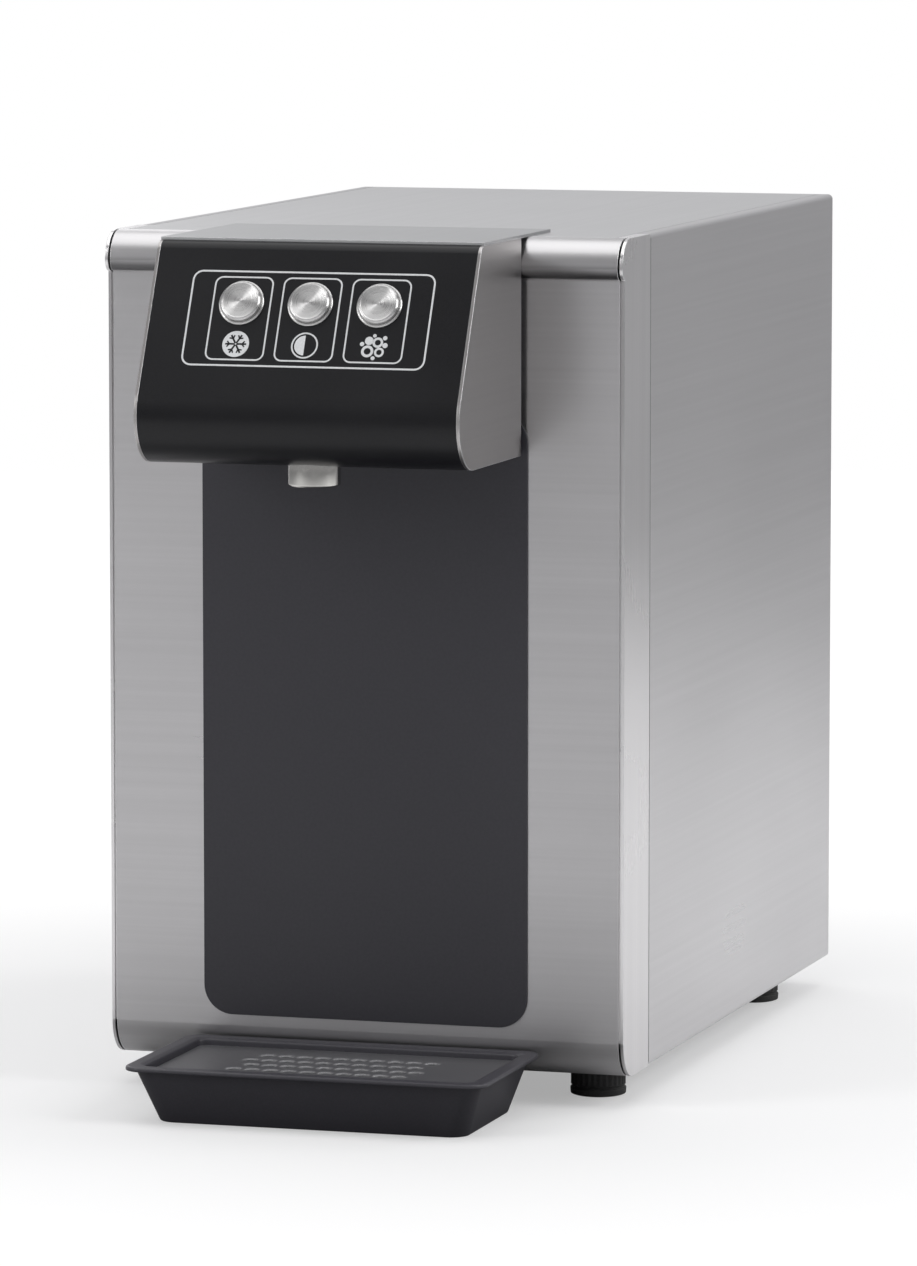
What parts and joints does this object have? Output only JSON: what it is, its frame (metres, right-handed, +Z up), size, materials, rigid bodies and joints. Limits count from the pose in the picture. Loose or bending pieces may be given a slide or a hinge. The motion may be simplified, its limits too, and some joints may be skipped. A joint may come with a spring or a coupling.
{
  "type": "countertop water dispenser",
  "caption": "Countertop water dispenser: narrow stainless casing on feet, overhanging head with push buttons and a nozzle, black splash panel and a slide-out drip tray.",
  "frame": {"origin": "bottom centre of the whole object", "axes": "+X to the right seen from the front, +Y to the back, +Z up; the head and tray face -Y"},
  "size_m": [0.26, 0.526, 0.4215],
  "materials": {
    "stainless": "brushed, vertical grain",
    "black_panel": "satin black",
    "tray_plastic": "fine moulded texture",
    "turned_steel": "turned and polished",
    "zinc_sheet": "zinc-plated sheet",
    "foot_rubber": "matt",
    "screw_steel": "plain stainless",
    "moulded_grey": "moulded",
    "moulded_black": "moulded",
    "rocker_red": "gloss",
    "compressor_enamel": "black enamel",
    "copper_tube": "drawn copper",
    "aluminium_fin": "plain sheet",
    "brass_body": "machined",
    "foam": "expanded foam",
    "circuit_board": "green board",
    "tube_plastic": "flexible white tube and moulded housing"
  },
  "bodies": {
    "casing": {"base_plate": "zinc_sheet", "front_fascia": "stainless", "left_cheek": "stainless", "right_cheek": "stainless", "left_side_panel": "stainless", "right_side_panel": "stainless", "top_cover": "stainless", "rear_panel": "zinc_sheet", "rear_screws": "screw_steel", "splash_panel": "black_panel", "head_left_side": "stainless", "head_right_side": "stainless", "head_front_cover": "black_panel", "head_top_plate": "stainless", "head_frame": "zinc_sheet", "nozzle_holder": "moulded_grey", "nozzle": "turned_steel", "water_tubes": "tube_plastic", "button_housings": "turned_steel", "cold_button_spring": "screw_steel", "ambient_button_spring": "screw_steel", "sparkling_button_spring": "screw_steel", "compressor": "compressor_enamel", "compressor_grommets": "foot_rubber", "condenser_fins": "aluminium_fin", "condenser_tube": "copper_tube", "fan_shroud": "moulded_black", "fan_motor": "moulded_grey", "tank_shelf": "zinc_sheet", "tank_insulation": "foam", "cold_tank": "screw_steel", "tank_lid": "moulded_grey", "evaporator_coil": "copper_tube", "carbonator": "screw_steel", "agitator_motor": "moulded_grey", "bulkhead": "zinc_sheet", "control_board": "circuit_board", "power_supply": "aluminium_fin", "water_pump": "brass_body", "pump_motor": "compressor_enamel", "filter_cartridge": "tube_plastic", "valve_block": "brass_body", "dispense_valves": "moulded_black", "inlet_fittings": "moulded_black", "power_inlet": "moulded_black", "inlet_pins": "screw_steel", "filter_drier": "copper_tube", "refrigerant_pipes": "copper_tube"},
    "cold_button": {"cold_button": "turned_steel"},
    "ambient_button": {"ambient_button": "turned_steel"},
    "sparkling_button": {"sparkling_button": "turned_steel"},
    "drip_tray": {"drip_tray": "tray_plastic"},
    "tray_grille": {"tray_grille": "tray_plastic"},
    "front_left_foot": {"front_left_foot": "foot_rubber"},
    "front_right_foot": {"front_right_foot": "foot_rubber"},
    "rear_left_foot": {"rear_left_foot": "foot_rubber"},
    "rear_right_foot": {"rear_right_foot": "foot_rubber"},
    "fan_rotor": {"fan_rotor": "moulded_black"},
    "agitator": {"agitator": "screw_steel"},
    "power_rocker": {"power_rocker": "rocker_red"}
  },
  "joints": [
    {"name": "cold_press", "type": "slide", "parent": "casing", "child": "cold_button", "axis": [0, 0.8973, -0.4415], "range_m": [0, 0.002], "stiffness_N_per_m": 1000, "springref_m": -0.002, "deforming": ["cold_button_spring"]},
    {"name": "ambient_press", "type": "slide", "parent": "casing", "child": "ambient_button", "axis": [0, 0.8973, -0.4415], "range_m": [0, 0.002], "stiffness_N_per_m": 1000, "springref_m": -0.002, "deforming": ["ambient_button_spring"]},
    {"name": "sparkling_press", "type": "slide", "parent": "casing", "child": "sparkling_button", "axis": [0, 0.8973, -0.4415], "range_m": [0, 0.002], "stiffness_N_per_m": 1000, "springref_m": -0.002, "deforming": ["sparkling_button_spring"]},
    {"name": "tray_slide", "type": "slide", "parent": "casing", "child": "drip_tray", "axis": [0, -1, 0], "range_m": [0, 0.12]},
    {"name": "grille_lift", "type": "slide", "parent": "drip_tray", "child": "tray_grille", "axis": [0, 0, 1], "range_m": [0, 0.05]},
    {"name": "front_left_foot_turn", "type": "hinge", "parent": "casing", "child": "front_left_foot", "pos_m": [-0.104, -0.108, 0], "axis": [0, 0, 1], "continuous": true},
    {"name": "front_right_foot_turn", "type": "hinge", "parent": "casing", "child": "front_right_foot", "pos_m": [0.104, -0.108, 0], "axis": [0, 0, 1], "continuous": true},
    {"name": "rear_left_foot_turn", "type": "hinge", "parent": "casing", "child": "rear_left_foot", "pos_m": [-0.104, 0.189, 0], "axis": [0, 0, 1], "continuous": true},
    {"name": "rear_right_foot_turn", "type": "hinge", "parent": "casing", "child": "rear_right_foot", "pos_m": [0.104, 0.189, 0], "axis": [0, 0, 1], "continuous": true},
    {"name": "fan_spin", "type": "hinge", "parent": "casing", "child": "fan_rotor", "pos_m": [0.065, 0.1856, 0.0947], "axis": [0, 1, 0], "continuous": true},
    {"name": "agitator_spin", "type": "hinge", "parent": "casing", "child": "agitator", "pos_m": [0, 0.1426, 0.21], "axis": [0, 0, 1], "continuous": true},
    {"name": "rocker_tilt", "type": "hinge", "parent": "casing", "child": "power_rocker", "pos_m": [0.09, 0.248, 0.301], "axis": [-1, 0, 0], "range_deg": [0, 20]}
  ]
}
